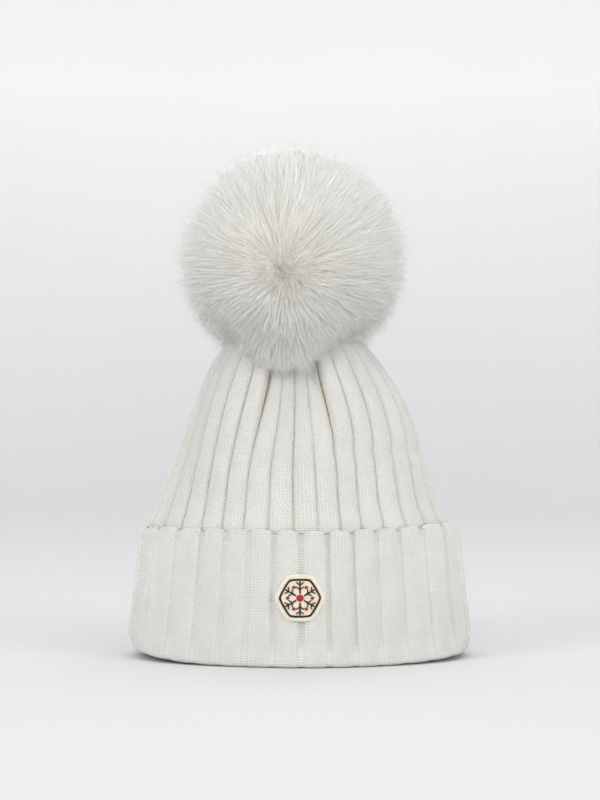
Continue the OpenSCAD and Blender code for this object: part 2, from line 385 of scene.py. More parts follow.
def ripple(turn, z, seed, count=5):
    """A smooth random field round the hat, about -1 to 1, that changes slowly with height."""
    own = np.random.default_rng(seed)
    total = 0
    for _ in range(count):
        waves, rise = own.integers(1, 9), own.uniform(-40, 40)
        total = total + np.sin(waves * turn + rise * z + own.uniform(0, TAU)) / count ** 0.5
    return total


def rib_wall(stations, ribs, wales, relief, wander):
    """Points round each station, pushed in between the ribs and, a little, between the stitch columns.

    stations: for each row, half width, half depth, x of the middle, z, outward and upward parts of the
    surface's direction, and how deep its ribs are. relief turns a place, counted in ribs, into the
    place that it is drawn to, its height from crease to ridge, and its push inward as a share of the
    depth. wander: how far the ribs stray sideways, in ribs.
    """
    cols = ribs * wales * wale_points
    points = np.zeros((len(stations), cols, 3))
    height = np.zeros((len(stations), cols))
    places = np.zeros((len(stations), cols))
    column = np.arange(cols) / (wales * wale_points)
    for row, (w, d, x, z, outward, upward, depth) in enumerate(stations):
        turns = even_turns(w, d, cols)
        place = column + wander * ripple(turns, z, ribs)
        places[row], height[row], push = relief(place, z)
        groove = wale_groove * np.cos(math.pi * places[row] * wales) ** 2 * (depth > 0)
        normal = unit(np.stack([d * np.sin(turns), -w * np.cos(turns)], -1))
        inward = depth * push + groove
        points[row, :, 0] = x + w * np.sin(turns) - normal[:, 0] * inward * outward
        points[row, :, 1] = -d * np.cos(turns) - normal[:, 1] * inward * outward
        points[row, :, 2] = z - inward * upward
    return points, height, places * wales


def courses(stations):
    """The distance run along the rows, in courses of stitches."""
    steps = [math.dist(a[::3], b[::3]) for a, b in zip(stations, stations[1:])]
    return np.concatenate([[0], np.cumsum(steps)]) / row_h


# ---- The crown ------------------------

first_crease = 0.27      # the crease nearest the middle of the front, in ribs to its left
pinch_at = 1.45          # ribs from the middle to each of the two deep creases, close to the pom
pinch_crease = 2         # creases from the middle one to those two
pinch_low = 120 * MM     # the height where that drawing in starts
pinch_high = 205 * MM    # the height where it is whole
crease_depth = np.clip(np.random.default_rng(3).normal(1.0, 0.14, crown_ribs), 0.7, 1.35)


def crown_relief(place, z):
    """Plump ribs with crisp creases.

    Close to the pom the front is drawn in between two deep creases, and the ribs between them flatten.
    """
    pull, roundness = 0.55, 2.2
    flatter, deeper, darker = 0.55, 1.1, 0.85
    up = smoothstep(pinch_low, pinch_high, z)
    from_front = (place + crown_ribs / 2) % crown_ribs - crown_ribs / 2
    share = from_front / pinch_at
    drawn = pull * share * np.exp(0.5 * (1 - share ** 2))
    place = place + first_crease * (1 - up) + up * drawn
    crease = np.round(place).astype(int)
    away = np.abs(place - crease) * 2
    crease = (crease + crown_ribs // 2) % crown_ribs - crown_ribs // 2
    height = np.sqrt(np.maximum(1 - (1 - away) ** roundness, 0))
    depth = crease_depth[crease % crown_ribs].copy()
    depth[np.abs(crease) < pinch_crease] *= 1 - flatter * up
    pinched = up * (np.abs(crease) == pinch_crease)
    depth *= 1 + deeper * pinched
    # Painted shade: the two deep pinch creases are coloured darker towards their floor; this rides on the
    # height that colours the crown.
    pinch_shade = 1 - darker * pinched * (1 - away)
    return place, height * pinch_shade, depth * (1 - height)


def crown_stations():
    """Rows up the outside of the crown, over the gather, and down the inside."""
    foot_z, clear_z = 5 * MM, 34 * MM       # the crown leaves the fold at the foot and hangs clear above
    press = 1.8 * MM                        # how far it swells over the cuff's upper edge
    low_depth, more_depth = 2.5, 1.0        # of the ribs, in millimetres, and what they gain upwards
    step = 0.2 * MM
    outside = []
    skirt = np.linspace(foot_z, cuff_h - 4 * MM, 20)
    body = np.linspace(cuff_h - 1 * MM, crown_h, 78)
    for z in np.concatenate([skirt, body]):
        blend = 1 - smoothstep(foot_z, clear_z, z)
        fold_w, fold_d = (half - cuff_t - 0.2 * MM for half in cuff_half(z))
        swell = press * float(bell(z, cuff_h + 2 * MM, 9 * MM))
        w = crown_w(z) * (1 - blend) + fold_w * blend + swell
        d = crown_d(z) * (1 - blend) + fold_d * blend + swell
        slope = max(0, float(crown_w(z - step) - crown_w(z + step)) / (2 * step))
        length = math.hypot(1, slope)
        depth = (low_depth + more_depth * crown_share(z)) * MM * (0.5 + 0.5 * smoothstep(foot_z, cuff_h, z))
        outside.append([float(w), float(d), float(crown_x(z)), z, 1 / length, slope / length, float(depth)])
    gather = []
    gather_r, dip, gather_depth = 10 * MM, 0.5 * MM, 2.2 * MM
    for share in (0.8, 0.6, 0.4, 0.2, 0):
        r = gather_hole_r + (gather_r - gather_hole_r) * share
        gather.append([r, r, pom_axis_x, crown_h - dip * (1 - share), 0, 1, gather_depth * share])
    inside = []
    bunch_z, bunch_r = crown_h - 6.5 * MM, 11 * MM
    for r in (gather_hole_r, bunch_r / 2, bunch_r):
        inside.append([r, r, pom_axis_x, bunch_z, 0, 0, 0])
    thick = knit_t + 0.1 * MM
    for w, d, x, z, outward, upward, depth in outside[-5::-3]:
        lower = z - thick * upward
        if lower < bunch_z - 1 * MM:
            inside.append([w - thick * outward, d - thick * outward, x, lower, outward, upward, depth * 0.9])
    return outside + gather + inside


def make_crown(knit):
    """The ribbed crown, inside and outside, gathered at the top."""
    wander = 0.09
    band_wide, band_narrow, band_depth = 27 * MM, 13 * MM, 6.5 * MM
    stations = crown_stations()
    points, height, stitch_u = rib_wall(stations, crown_ribs, crown_wales, crown_relief, wander)
    x, y, z = np.moveaxis(points, -1, 0)

    # The front between the two deep creases sinks in towards the pom.
    up = smoothstep(135 * MM, pinch_high, z)
    off_middle = np.abs(x - pom_axis_x) / (band_wide + (band_narrow - band_wide) * up)
    band = (1 - smoothstep(0.8, 1.12, off_middle)) * (y < 0)
    y += band_depth * band * up * (1 - smoothstep(crown_h - 16 * MM, crown_h - 4 * MM, z))

    # The sides bulge a little and sag over a fold, and the whole wall swells unevenly.
    turns = np.arctan2(x, -y)
    right, left = np.maximum(np.sin(turns), 0), np.maximum(-np.sin(turns), 0)
    slouch = right * (4.6 * bell(z, 158 * MM, 34 * MM) - 1.4 * bell(z, 138 * MM, 4 * MM))
    slouch = slouch + left * 2.6 * bell(z, 104 * MM, 30 * MM)
    x += slouch * np.sign(np.sin(turns)) * MM
    swell = 0.9 * MM * ripple(turns, z, 8) * smoothstep(cuff_h - 20 * MM, cuff_h + 30 * MM, z)
    swell *= 1 - smoothstep(crown_h - 30 * MM, crown_h - 10 * MM, z)
    x += swell * np.sin(turns)
    y -= swell * np.cos(turns)
    # The height from crease to ridge, with the pinch's painted shade, colours the creases with painted shade.
    crown = ring_grid("crown_knit", points, stitch_u, courses(stations), crown_ribs * crown_wales,
                      {"painted_crease_shade": height, "purl": 0})
    dress(crown, knit, "knit", None, "crown")
    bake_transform(crown)


# ---- The cuff ------------------------

valley_depth = np.clip(np.random.default_rng(11).normal(1.0, 0.2, cuff_ribs), 0.6, 1.4)


def cuff_relief(place, _z):
    """Flat raised ribs, seven tenths of the pitch, with sunken purl between them."""
    valley_edge, rib_edge, crown_of_rib, shoulder = 0.06, 0.18, 0.22, 0.1
    nearest = np.round(place).astype(int)
    away = np.abs(place - nearest)
    rounded = np.sin(np.clip(away - shoulder, 0, 0.4) / 0.4 * math.pi / 2)
    height = smoothstep(valley_edge, rib_edge, away) * (1 - crown_of_rib + crown_of_rib * rounded)
    return place + 0.5, height, (1 - height) * valley_depth[nearest % cuff_ribs]


def cuff_stations():
    """Rows from inside the fold, round it, up the turned-up side, over its edge and down behind it."""
    rib_depth, fold_depth, edge_depth = 2.8 * MM, 0.5 * MM, 0.98 * MM
    edge_r = cuff_t / 2
    stations = []

    def add(inset, z, outward, upward, depth):
        w, d = cuff_half(z)
        stations.append([w - inset, d - inset, 0, z, outward, upward, depth])

    for z in (8 * MM, 5.6 * MM, 3.2 * MM):
        add(2 * cuff_t, z, -1, 0, fold_depth)
    for a in np.radians(np.linspace(-157.5, -22.5, 7)):
        add(cuff_t * (1 - math.cos(a)), cuff_t * (1 + math.sin(a)), math.cos(a), math.sin(a), fold_depth)
    for z in np.linspace(cuff_t, cuff_h - edge_r, 56):
        depth = fold_depth + (rib_depth - fold_depth) * float(smoothstep(cuff_t, 16 * MM, z))
        add(0, z, 1, 0, depth * (1 - 0.6 * float(smoothstep(cuff_h - 9 * MM, cuff_h, z))))
    for a in np.radians(np.linspace(22.5, 157.5, 7)):
        z = cuff_h - edge_r * (1 - math.sin(a))
        add(edge_r * (1 - math.cos(a)), z, math.cos(a), math.sin(a), edge_depth)
    for z in np.linspace(cuff_h - edge_r, 8 * MM, 14):
        add(cuff_t, z, -1, 0, 0)
    return stations


def make_cuff(knit):
    """The fold and the turned-up side as one wall, with the ribs' scallops along its upper edge."""
    wander, scallop = 0.1, 1.2 * MM
    stations = cuff_stations()
    points, height, stitch_u = rib_wall(stations, cuff_ribs, cuff_wales, cuff_relief, wander)
    x, y, z = np.moveaxis(points.copy(), -1, 0)
    turns = np.arctan2(x / mouth_half[0], -y / mouth_half[1])
    side = np.abs(np.sin(turns))
    low = 1 - smoothstep(0, 15 * MM, z)
    top = smoothstep(cuff_h - 9 * MM, cuff_h, z)

    # The sides turn in at both edges and lift off the ground, and the upper edge is scalloped by the ribs.
    turn_in = side ** 10 * (2.5 * top ** 2 + 4.0 * low ** 1.5) * MM
    wave = 0.6 * MM * ripple(turns, z * 0.5, 12) + side ** 4 * 1.6 * MM
    points[..., 0] -= np.sin(turns) * (turn_in - wave)
    points[..., 1] += np.cos(turns) * (turn_in * 0.3 - wave)
    lift = (1 - smoothstep(0, 45 * MM, z)) * side ** 4 * np.where(x < 0, 5.5, 4.0) * MM
    uneven = 0.6 * MM * ripple(turns, 0 * z, 31) - side ** 14 * 1.4 * MM
    right_rise = smoothstep(40 * MM, cuff_h, z) * smoothstep(0.45, 1, np.sin(turns)) * 3.0 * MM
    points[..., 2] += lift + top * ((height - 1) * scallop + uneven) + right_rise

    purl = 1 - smoothstep(0.35, 0.7, height)
    rib_place = stitch_u / cuff_wales - 0.5
    from_valley = np.abs(rib_place - np.round(rib_place))
    # painted shade: darker towards the valley floors and in thin lines along the valley walls
    painted_crease_shade = 1 - 0.12 * (1 - height) - 0.46 * bell(from_valley, 0.115, 0.03)
    cuff = ring_grid("cuff_knit", points, stitch_u, courses(stations), cuff_ribs * cuff_wales,
                     {"painted_crease_shade": painted_crease_shade, "purl": purl})
    dress(cuff, knit, "knit", None, "cuff_fold", "cuff_turn_up", "cuff_edge")
    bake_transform(cuff)


# ---- The pom ------------------------

strands = 68000
drape_strands = 22000
strand_steps = 4
strand_sides = 3
tuft_count = 4500
pom_pieces = 10
under_r = 63 * MM
lowest_polar = math.radians(142)
swirl = unit(np.array([-7.0, -68.0, -17.0]))


def lumps(n, seed, waves, count=9):
    """A smooth random field over directions, about -1 to 1."""
    own = np.random.default_rng(seed)
    total = np.zeros(n.shape[:-1])
    for _ in range(count):
        way = unit(own.normal(size=3))
        total += np.cos(waves * own.uniform(0.6, 1.4) * (n @ way) + own.uniform(0, TAU))
    return total / count ** 0.5


def ball_directions(count, lowest):
    """Directions spread evenly over a ball, from the top down to the polar angle lowest."""
    z = 1 - (np.arange(count) + rng.uniform(size=count)) / count * (1 - math.cos(lowest))
    turn = rng.uniform(0, TAU, count)
    flat = np.sqrt(np.maximum(1 - z * z, 0))
    return np.stack([flat * np.sin(turn), -flat * np.cos(turn), z], -1)


def clear_of_crown(points, gap):
    """Moves points that lie in the crown out to its surface, and tells how far each went."""
    x, y, z = points[..., 0], points[..., 1], points[..., 2]
    w, d = crown_w(z) + gap, crown_d(z) + gap
    out = np.hypot((x - crown_x(z)) / w, y / d)
    low = (z < crown_h + gap) & (out < 1)
    scale = np.where(low, 1 / np.maximum(out, 0.05), 1)
    moved = points.copy()
    moved[..., 0] = crown_x(z) + (x - crown_x(z)) * scale
    moved[..., 1] = y * scale
    return moved, np.linalg.norm(moved - points, axis=-1)


def comb_way(n):
    """The way hair at n is combed: away from the swirl in front, and away from its far side behind."""
    strength, calm = 1.25, 0.32          # calm: how far from the swirl the combing takes hold
    toward = n @ swirl
    off = np.sqrt(np.maximum(1 - toward ** 2, 0))
    bend = strength * np.sign(toward) * np.abs(toward) ** 0.9 * smoothstep(0.0, calm, off)
    return unit(toward[:, None] * n - swirl) * bend[:, None]


def combed_hair():
    """Strands over the whole ball, combed away from the swirl and drawn together into tufts."""
    swirl_share, swirl_spread = 7, 0.2               # one strand in seven grows close to the swirl
    base_r, guard_share, droop = 75 * MM, 0.07, np.array([0, 0, -0.08])
    s = np.linspace(0, 1, strand_steps + 1)[None, :, None]
    n = ball_directions(strands, lowest_polar)
    by_swirl = swirl + rng.normal(0, swirl_spread, (strands // swirl_share, 3))
    n[rng.choice(strands, len(by_swirl), replace=False)] = unit(by_swirl)
    tufts = ball_directions(tuft_count, lowest_polar)
    chunks = 40                                      # keeps the table of distances small
    nearest = np.concatenate([np.argmax(part @ tufts.T, axis=1) for part in np.array_split(n, chunks)])

    # The hair is crisp on the right and on top, and softer on the left.
    crisp = smoothstep(-0.75, 0.1, n[:, 0] + 0.5 * n[:, 2])
    stray = rng.normal(0, 0.075, n.shape) + rng.normal(0, 0.05, tufts.shape)[nearest]
    from_swirl = np.arccos(np.clip(n @ swirl, -1, 1))

    # Its tips make the ball's outline: uneven, flatter at the swirl and low down in front and behind.
    tip_r = base_r * (1 + 0.015 * lumps(n, 5, 5)) + rng.normal(0, 1, strands) * (1.8 - 1.3 * crisp) * MM
    tip_r += rng.normal(0, 1.6 * MM, len(tufts))[nearest]
    tip_r -= 3 * MM * bell(from_swirl, 0, 0.3)
    tip_r -= 6 * MM * smoothstep(-0.25, -0.55, n[:, 2]) * smoothstep(0.25, 0.5, np.abs(n[:, 1]))
    guard = rng.uniform(size=strands) < guard_share
    tip_r[guard] += rng.uniform(1, 6, guard.sum()) * MM
    right = smoothstep(0.3, 0.9, n[:, 0]) * (rng.uniform(size=strands) < 0.18)
    tip_r += right * rng.uniform(0, 6, strands) * MM

    root_r = under_r - 5 * MM
    r = root_r + (tip_r - root_r)[:, None, None] * s
    gather = (0.3 + 0.4 * crisp)[:, None, None] * s ** 1.6
    base = n[:, None] * (1 - gather) + tufts[nearest][:, None] * gather
    way = unit(base + s ** 1.2 * (0.5 * comb_way(n) + stray + droop)[:, None])
    gap = (0.8 + 5.5 * rng.uniform(size=(strands, 1)) ** 1.6) * MM
    points, pushed = clear_of_crown(pom_centre + r * way, gap)
    sideways = np.abs(n[:, 0]) / np.hypot(n[:, 0], n[:, 1])
    keep = pushed.max(axis=1) < (16 - 12 * sideways) * MM
    # Round the swirl the strands are coloured creamier and darker: partly the roots' own tone, partly painted
    # shade.
    cream_and_shade = bell(from_swirl, 0, 0.4) * rng.uniform(0.5, 1, strands)
    return points[keep], guard[keep], cream_and_shade[keep]


def fan_place(turn, out, side):
    """Places on the fan of hair that hangs from the swirl, and, where side is -1, from its far side behind.

    turn is measured from straight down, and out is the distance from the swirl. Low down the fan leaves
    the ball and lies over the crown.
    """
    hang, gap, blend = 0.985, 4 * MM, 4
    start = side * pom_r * swirl[:, None, None]
    x = start[0] + out * np.sin(turn)
    z = start[2] - out * np.cos(turn)
    on_ball = np.sqrt(np.maximum((pom_r + 2 * MM) ** 2 - x * x - hang * z * z, 0))
    x, z = x + pom_centre[0], z + pom_centre[2]
    across = (x - crown_x(z)) / (crown_w(z) + gap)
    over_crown = (crown_d(z) + gap) * np.sqrt(np.maximum(1 - across ** 2, 0))
    y = -side * (on_ball ** blend + over_crown ** blend) ** (1 / blend)
    return np.stack([x, y, z], -1)


def tuft_value(tuft, seed):
    """A random value that all strands of a tuft share."""
    values = np.random.default_rng(seed).normal(0, 1, 4096)
    return values[tuft.astype(int) % len(values)]


def draped_hair():
    """Strands that fan out below the swirl, and behind too, and lie over the crown to the ball's outline."""
    behind_share, fan_half = 0.42, 1.7
    tuft_w, tuft_long, tuft_rows = 0.075, 0.2, 41      # a tuft's turn, its share of the way out
    longer, shorter = 6 * MM, 15 * MM                  # in the middle, and for the outermost layer aside
    count = drape_strands
    s = np.linspace(0, 1, strand_steps + 1)[None, :]
    side = np.where(rng.uniform(size=count) < behind_share, -1.0, 1.0)[:, None]
    turn = (fan_half * (2 * rng.beta(2.2, 2.2, count) - 1))[:, None]
    share = 0.04 + 0.74 * rng.beta(1.5, 1.1, (count, 1))

    # How far out from the swirl the ball's outline lies, in each strand's direction
    swirl_x, swirl_z = side * pom_r * swirl[0], side * pom_r * swirl[2]
    toward = swirl_x * np.sin(turn) - swirl_z * np.cos(turn)
    edge = np.sqrt(toward ** 2 - swirl_x ** 2 - swirl_z ** 2 + (pom_r + 1 * MM) ** 2) - toward

    tuft = np.floor(turn / tuft_w) + np.round(share / tuft_long) * tuft_rows
    tuft_turn = (np.floor(turn / tuft_w) + 0.5 + 0.4 * tuft_value(tuft, 9)) * tuft_w
    length = rng.uniform(20, 36, (count, 1)) * MM
    tuft_end = edge + 2.2 * MM * tuft_value(tuft, 10)
    layer = rng.beta(1.3, 1.0, (count, 1))
    aside = np.abs(turn)
    tuft_end += longer * bell(aside, 0, 0.5) - shorter * (1 - layer) * smoothstep(0.3, 0.9, aside)
    ending = np.minimum(share * edge + length, tuft_end + rng.normal(0, 1.5 * MM, (count, 1)))
    out = share * edge + (ending - share * edge) * s
    turns = turn + (0.55 * (tuft_turn - turn) + rng.normal(0, 0.06, (count, 1))) * s ** 1.3
    points = fan_place(turns, out, side)
    depth = 15 * MM * (1 - s) ** 1.6 + (9 * layer - 1) * MM * (1 - 0.2 * s)
    points -= unit(points - pom_centre) * depth[..., None]
    points, _ = clear_of_crown(points, 0.9 * MM)
    return points, np.zeros(count, bool), 0.35 * rng.uniform(size=count) ** 3


def strand_mesh(name, lines, guard, cream_and_shade):
    """Tapering strands along lines[strand, step]. Guard hairs are thicker."""
    thinnest, thickest, guard_thicker, taper = 0.075, 0.13, 1.25, 0.85
    count, steps = lines.shape[:2]
    along = unit(np.gradient(lines, axis=1))
    helper = rng.normal(size=(count, 1, 3))      # any direction will do: it turns the strand's section
    s = np.linspace(0, 1, steps)[None, :]
    thick = (rng.uniform(thinnest, thickest, count) * np.where(guard, guard_thicker, 1))[:, None] * MM
    rings = tube_rings(lines, along, helper, thick * (1 - taper * s ** 3), strand_sides)
    points = np.concatenate([rings[:, :-1].reshape(count, -1, 3), lines[:, -1:]], axis=1)
    per = points.shape[1]
    tip = cap(per - 1 - strand_sides + np.arange(strand_sides), per - 1)
    faces = repeated(count, per, grid_faces(steps - 1, strand_sides), tip)
    obj = mesh_object(name, points.reshape(-1, 3), faces)
    index = corner_vertices(obj)
    strand, step = index // per, (index % per) // strand_sides
    own = rng.uniform(0.02, 0.98, count)
    corner_uv(obj, "OFBake", np.stack([own[strand], 0.02 + 0.96 * step / (steps - 1)], -1))
    point_value(obj, "cream_and_shade", np.repeat(cream_and_shade, per))
    point_value(obj, "guard", np.repeat(guard.astype(float), per))
    return obj


def make_hair(material):
    """All the long hair, in pieces that share it out round the ball. The first stands for the CAD's fur."""
    parts = [combed_hair(), draped_hair()]
    lines, guard, cream_and_shade = (np.concatenate([part[i] for part in parts]) for i in range(3))
    middle = lines[:, strand_steps // 2]
    order = np.argsort(np.arctan2(middle[:, 0] - pom_centre[0], -middle[:, 1]))
    for i, own in enumerate(np.array_split(order, pom_pieces)):
        hair = strand_mesh(f"pom_hair_{i + 1}", lines[own], guard[own], cream_and_shade[own])
        dress(hair, material, "fur", "pom", *(["pom_fur"] if i == 0 else []))


def make_underfur(material):
    """The short dense fur under the long hair: a shell round the hide, open below where the crown goes in."""
    top_polar, lip_polar = 0.02, math.radians(139)
    inner_r = hide_r + 1 * MM
    neck_polar = math.pi - math.asin(fur_neck_r / inner_r)

    def on_ball(r, polar):
        return r * math.sin(polar), pom_centre[2] + r * math.cos(polar)

    rows = [on_ball(inner_r, polar) for polar in np.linspace(top_polar, neck_polar, 40)]
    rows.append((fur_neck_r, fur_neck_z))
    lip_r, lip_z = on_ball(under_r, lip_polar)
    for share in np.linspace(0, 1, 9)[1:-1]:
        rows.append((fur_neck_r + (lip_r - fur_neck_r) * share, fur_neck_z + (lip_z - fur_neck_z) * share))
    lip_row = len(rows)
    rows += [on_ball(under_r, polar) for polar in np.linspace(lip_polar, top_polar, 60)]
    r, z = np.array(rows).T[:, :, None]
    points = around(pom_centre[0], r, z, ring_turns(160))
    n = unit(points - pom_centre)
    outer = np.arange(len(rows))[:, None, None] > lip_row
    points += n * (lumps(n, 6, 9)[..., None] * 1.2 * MM) * outer
    cols = points.shape[1]
    flat = points.reshape(-1, 3)
    first, top = np.arange(cols), len(flat)
    caps = np.concatenate([cap(top - cols + first, top), cap(first, top + 1, flip=True)])
    flat = np.concatenate([flat, [pom_centre + [0, 0, under_r]], [pom_centre + [0, 0, inner_r]]])
    dress(mesh_object("pom_underfur", flat, [grid_faces(len(rows), cols), caps]), material, "fur", "pom")


# ---- Threads, felt and the badge ------------------------

def tube_set(name, lines, radius, sides=6):
    """Round threads along lines[thread, step], drawn in to rounded ends."""
    lines = np.asarray(lines, float)
    count, steps = lines.shape[:2]
    along = unit(np.gradient(lines, axis=1))
    helper = np.where(np.abs(along[..., :1]) < 0.9, np.array([1.0, 0, 0]), np.array([0, 1.0, 0]))
    taper = np.sqrt(np.maximum(1 - np.abs(np.linspace(-1, 1, steps)) ** 6, 0.1))
    rings = tube_rings(lines, along, helper, radius * taper[None, :], sides)
    ends = lines[:, [0, -1]] + np.stack([-along[:, 0], along[:, -1]], 1) * radius * 0.4
    points = np.concatenate([rings.reshape(count, -1, 3), ends], axis=1)
    per, last = points.shape[1], (steps - 1) * sides
    ring = np.arange(sides)
    caps = np.concatenate([cap(ring, per - 2, flip=True), cap(last + ring, per - 1)])
    obj = mesh_object(name, points.reshape(-1, 3), repeated(count, per, grid_faces(steps, sides), caps))
    index = corner_vertices(obj)
    thread, spot = index // per, np.minimum(index % per, last)
    corner_uv(obj, "OFBake", np.stack([(thread + 0.5) / count, (spot // sides + 0.5) / steps], -1))
    return obj


def arch(start, end, rise, steps=7):
    """A stitch from start to end that bulges by rise."""
    t = np.linspace(0, 1, steps)[:, None]
    return np.asarray(start) * (1 - t) + np.asarray(end) * t + np.asarray(rise) * np.sin(math.pi * t) ** 0.7


badge_low, badge_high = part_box("badge_felt")
badge_middle = np.array([(badge_low.x + badge_high.x) / 2, 0, (badge_low.z + badge_high.z) / 2])
badge_half = (badge_high.x - badge_low.x) / 2
badge_tilt = math.atan((mouth_half[1] - edge_half[1]) / edge_bottom)
badge_t = 1.6 * MM
floss_pitch = 0.34 * MM      # between the threads of the embroidery
floss_lift = 0.06 * MM       # how far above the felt they start
floss_r = 0.2 * MM


def on_badge(u, v, rise):
    """The point at (u, v) on the badge, rise above the felt's face."""
    stand_off, bow_depth = 0.4 * MM, 1.2 * MM
    face_y = -float(cuff_half(badge_middle[2])[1]) - stand_off - badge_t
    c, k = math.cos(badge_tilt), math.sin(badge_tilt)
    u, v, rise = np.broadcast_arrays(u, v, rise)
    bow = bow_depth * (u / badge_half) ** 2
    y = face_y + v * k - (rise - bow) * c
    return np.stack([badge_middle[0] + u, y, badge_middle[2] + v * c + rise * k], -1)


def badge_step(u, v, rise):
    """The step from the middle of the felt's face to a place near it."""
    return on_badge(u, v, rise) - on_badge(0, 0, 0)


def floss(start, end, rise):
    """A thread between two places (u, v) on the badge that bulges by rise."""
    return arch(on_badge(*start, floss_lift), on_badge(*end, floss_lift), badge_step(0, 0, rise))


def heading(turn):
    return np.array([math.cos(turn), math.sin(turn)])


def hexagon_reach(angle, width):
    """Distance from the middle to the edge of a rounded hexagon at an angle, both in its own plane."""
    flat_share, waviness, sharpness = 0.889, 0.012, 14
    inner = width / 2 * flat_share
    corner = (np.abs((angle / (TAU / 6) + 0.5) % 1 - 0.5)) * TAU / 6
    straight = inner / np.cos(TAU / 12 - corner)
    soft = width / 2 * (1 - waviness * np.sin(3 * angle) ** 2)
    return 1 / (straight ** -sharpness + soft ** -sharpness) ** (1 / sharpness)


def badge_pad():
    """Felt with a rolled soft edge. Its rings: the share of the way out, and the depth behind its face."""
    profile = ((0.6, 1), (0.93, 1), (0.985, 0.8), (1, 0.5), (0.985, 0.16), (0.945, 0), (0.88, -0.02),
               (0.7, 0), (0.45, 0), (0.2, 0))
    turns = ring_turns(144)
    fuzz = 1 + 0.006 * np.sin(turns * 23 + 1) + 0.005 * np.sin(turns * 37)
    reach = hexagon_reach(turns, 2 * badge_half) * 1.04 * fuzz
    rings = [on_badge(share * reach * np.cos(turns), share * reach * np.sin(turns), -depth * badge_t)
             for share, depth in profile]
    flat = np.concatenate(rings + [on_badge(0, 0, -badge_t)[None], on_badge(0, 0, 0)[None]])
    cols = len(turns)
    count = len(rings) * cols
    caps = [cap(np.arange(cols), count, flip=True), cap(count - cols + np.arange(cols), count + 1)]
    return mesh_object("badge_pad", flat, [grid_faces(len(rings), cols), np.concatenate(caps)])


def badge_border():
    """Satin stitches side by side round the edge, each leaning a little."""
    outer_w, band, lean, uneven = 2 * badge_half - 4.6 * MM, 3.2 * MM, 0.012, 0.05 * MM
    lines = []
    for turn in ring_turns(int(math.pi * outer_w / floss_pitch)):
        outer = hexagon_reach(turn, outer_w) + rng.normal(0, uneven)
        inner = hexagon_reach(turn, outer_w - band) + rng.normal(0, uneven)
        lines.append(floss(inner * heading(turn), outer * heading(turn + lean), 0.5 * MM))
    return tube_set("badge_border_threads", lines, floss_r)


def satin(start, end, width, rise):
    """Threads side by side across the bar from start to end."""
    start, end = np.array(start), np.array(end)
    length = math.dist(start, end)
    way = (end - start) / length
    across = np.array([-way[1], way[0]]) * width / 2
    for at in np.arange(floss_pitch / 2, length, floss_pitch):
        middle = start + way * at
        wobble = rng.normal(0, 0.04 * MM, 2)
        yield floss(middle - across + wobble, middle + across - wobble + way * 0.1 * MM, rise)


def badge_snowflake():
    """Six arms, each with two pairs of side branches."""
    arm, arm_start, arm_w = 2 * badge_half * 0.33, 2.9 * MM, 1.15 * MM
    branch_start, branch_l, branch_w, branch_turn = 0.6 * MM, 2.3 * MM, 0.85 * MM, math.radians(55)
    lines = []
    for turn in (np.arange(6) + 0.5) * TAU / 6:
        way = heading(turn)
        lines += satin(way * arm_start, way * arm, arm_w, 0.5 * MM)
        for share in (0.5, 0.76):
            for side in (-1, 1):
                bend = heading(turn + side * branch_turn)
                start = way * arm * share + bend * branch_start
                lines += satin(start, start + bend * branch_l, branch_w, 0.4 * MM)
    return tube_set("badge_snowflake_threads", lines, 0.19 * MM)


def badge_dots():
    """A dot in the middle, and a smaller one between each two arms."""
    spot = 2 * badge_half * 0.24
    dots = [(0, 0, 2.4 * MM)] + [(*(spot * heading(i * TAU / 6)), 1.15 * MM) for i in range(6)]
    lines = []
    for u, v, r in dots:
        for at in np.arange(-r + floss_pitch / 2, r, floss_pitch):
            half = math.sqrt(r * r - at * at)
            lines.append(floss((u + at, v - half), (u + at + 0.1 * MM, v + half), 0.55 * MM))
    return tube_set("badge_centre_threads", lines, floss_r)


def badge_hand_stitches():
    """Stitches over the felt's edge that hold it to the cuff."""
    count, inward, outward, under = 30, 1.7 * MM, 0.35 * MM, 0.5 * MM
    t = np.linspace(0, 1, 9)[:, None]
    bulge = badge_step(0, 0, 0.9 * MM) * np.sin(math.pi * t) ** 0.8 * 1.1
    lines = []
    for turn in (np.arange(count) + 0.5) / count * TAU:
        way = heading(turn)
        edge = hexagon_reach(turn, 2 * badge_half)
        start = on_badge(*((edge - inward) * way), -0.1 * MM)
        end = on_badge(*((edge + outward) * way), -badge_t - under)
        out = badge_step(*(way * 0.7 * MM), 0) * np.sin(math.pi * t)
        lines.append(start * (1 - t) + end * t + bulge + out)
    return tube_set("badge_hand_stitches", lines, 0.16 * MM)


def make_badge(felt, black, red, thread):
    """The felt, its embroidery and its sewing, on the cuff's upper edge."""
    for piece, material, slot, node in (
            (badge_pad(), felt, "badge_felt", "badge_felt"),
            (badge_border(), black, "black_thread", "badge_border"),
            (badge_snowflake(), black, "black_thread", "badge_snowflake"),
            (badge_dots(), red, "red_thread", "badge_centre"),
            (badge_hand_stitches(), thread, "badge_sewing_thread", "badge_stitches")):
        dress(piece, material, slot, "cuff_edge", node)


# ---- Inside the crown, and the pom's fastening ------------------------

def plied(path, plies, yarn_r, ply_r, twist):
    """Lines of the plies of a yarn that twists along a path of points."""
    helper = np.array([0.31, 0.23, 0.92])            # lies along no part of the paths
    along = unit(np.gradient(path, axis=0))
    across = unit(np.cross(along, helper))
    up = np.cross(along, across)
    run = np.concatenate([[0], np.cumsum(np.linalg.norm(np.diff(path, axis=0), axis=1))])
    lines = []
    for i in range(plies):
        turn = (run * twist + i * TAU / plies)[:, None]
        lines.append(path + (yarn_r - ply_r) * (np.cos(turn) * across + np.sin(turn) * up))
    return lines


